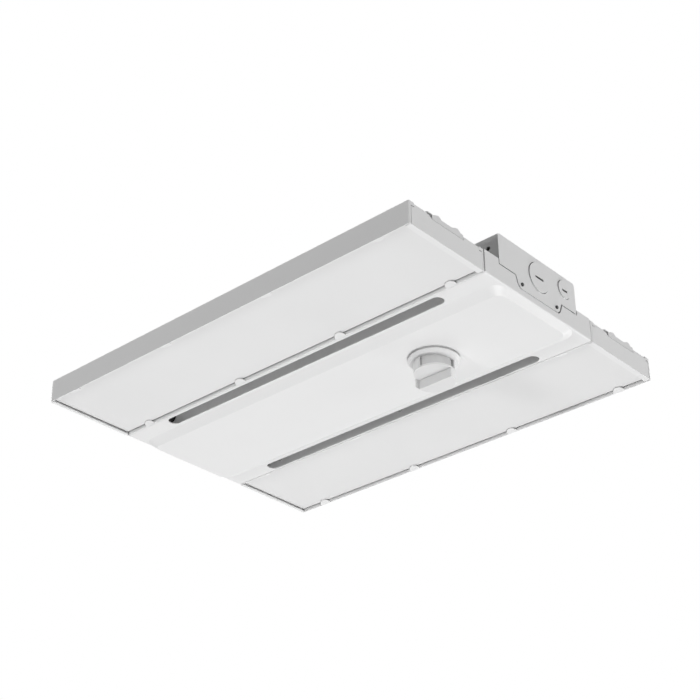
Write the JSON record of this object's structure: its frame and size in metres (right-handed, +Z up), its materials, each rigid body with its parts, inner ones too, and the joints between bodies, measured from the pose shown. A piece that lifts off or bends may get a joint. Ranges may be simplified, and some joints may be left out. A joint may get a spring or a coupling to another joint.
{
  "type": "high bay light",
  "caption": "Rectangular high bay light: lensed light trays either side of a slotted centre pan, with a driver box on top and an occupancy sensor below.",
  "frame": {"origin": "centre of the driver box's flat top face", "axes": "+X along the length towards the end plate with the knockouts, +Y across the trays, +Z up towards the ceiling; light leaves along -Z"},
  "size_m": [0.5252, 0.41, 0.0934],
  "materials": {
    "white_coat": "white powder coat, semi-gloss",
    "frosted_lens": "frosted white acrylic",
    "heat_sink_metal": "white coated extrusion, satin",
    "board_white": "white solder mask, matt",
    "phosphor": "yellow phosphor, matt",
    "zinc_steel": "zinc plated, satin",
    "rivet_metal": "plain, satin",
    "lead_sleeve": "dark PVC, matt",
    "white_plastic": "moulded, matt",
    "grommet_rubber": "black, matt",
    "black_screws": "black oxide, satin",
    "driver_case": "plain, satin",
    "connector_plastic": "orange, semi-gloss",
    "ground_green": "green, satin",
    "sensor_white": "moulded, fine texture",
    "sensor_window_white": "translucent moulding, semi-gloss",
    "board_green": "solder mask, satin",
    "detector_metal": "bright can"
  },
  "bodies": {
    "root": {"centre_pan": "white_coat", "cover_screws": "zinc_steel", "driver_box": "white_coat", "driver_screws": "zinc_steel", "end_plate_screws": "black_screws", "far_end_plate": "white_coat", "ground_screw": "ground_green", "junction_end_plate": "white_coat", "led_driver": "driver_case", "left_board_plug": "white_plastic", "left_board_screws": "zinc_steel", "left_grommets": "grommet_rubber", "left_heat_sink": "heat_sink_metal", "left_lead": "lead_sleeve", "left_led_board": "board_white", "left_led_chips": "phosphor", "left_lens": "frosted_lens", "left_pan_screws": "zinc_steel", "left_sink_rivets": "rivet_metal", "left_tray": "white_coat", "line_connector": "connector_plastic", "line_lead": "lead_sleeve", "neutral_connector": "connector_plastic", "neutral_lead": "lead_sleeve", "right_board_plug": "white_plastic", "right_board_screws": "zinc_steel", "right_grommets": "grommet_rubber", "right_heat_sink": "heat_sink_metal", "right_lead": "lead_sleeve", "right_led_board": "board_white", "right_led_chips": "phosphor", "right_lens": "frosted_lens", "right_pan_screws": "zinc_steel", "right_sink_rivets": "rivet_metal", "right_tray": "white_coat", "sensor_base": "sensor_white", "sensor_board": "board_green", "sensor_connector": "connector_plastic", "sensor_detector": "detector_metal", "sensor_head": "sensor_white", "sensor_lead": "lead_sleeve", "sensor_lock_nut": "zinc_steel", "sensor_window": "sensor_window_white"}
  },
  "joints": []
}
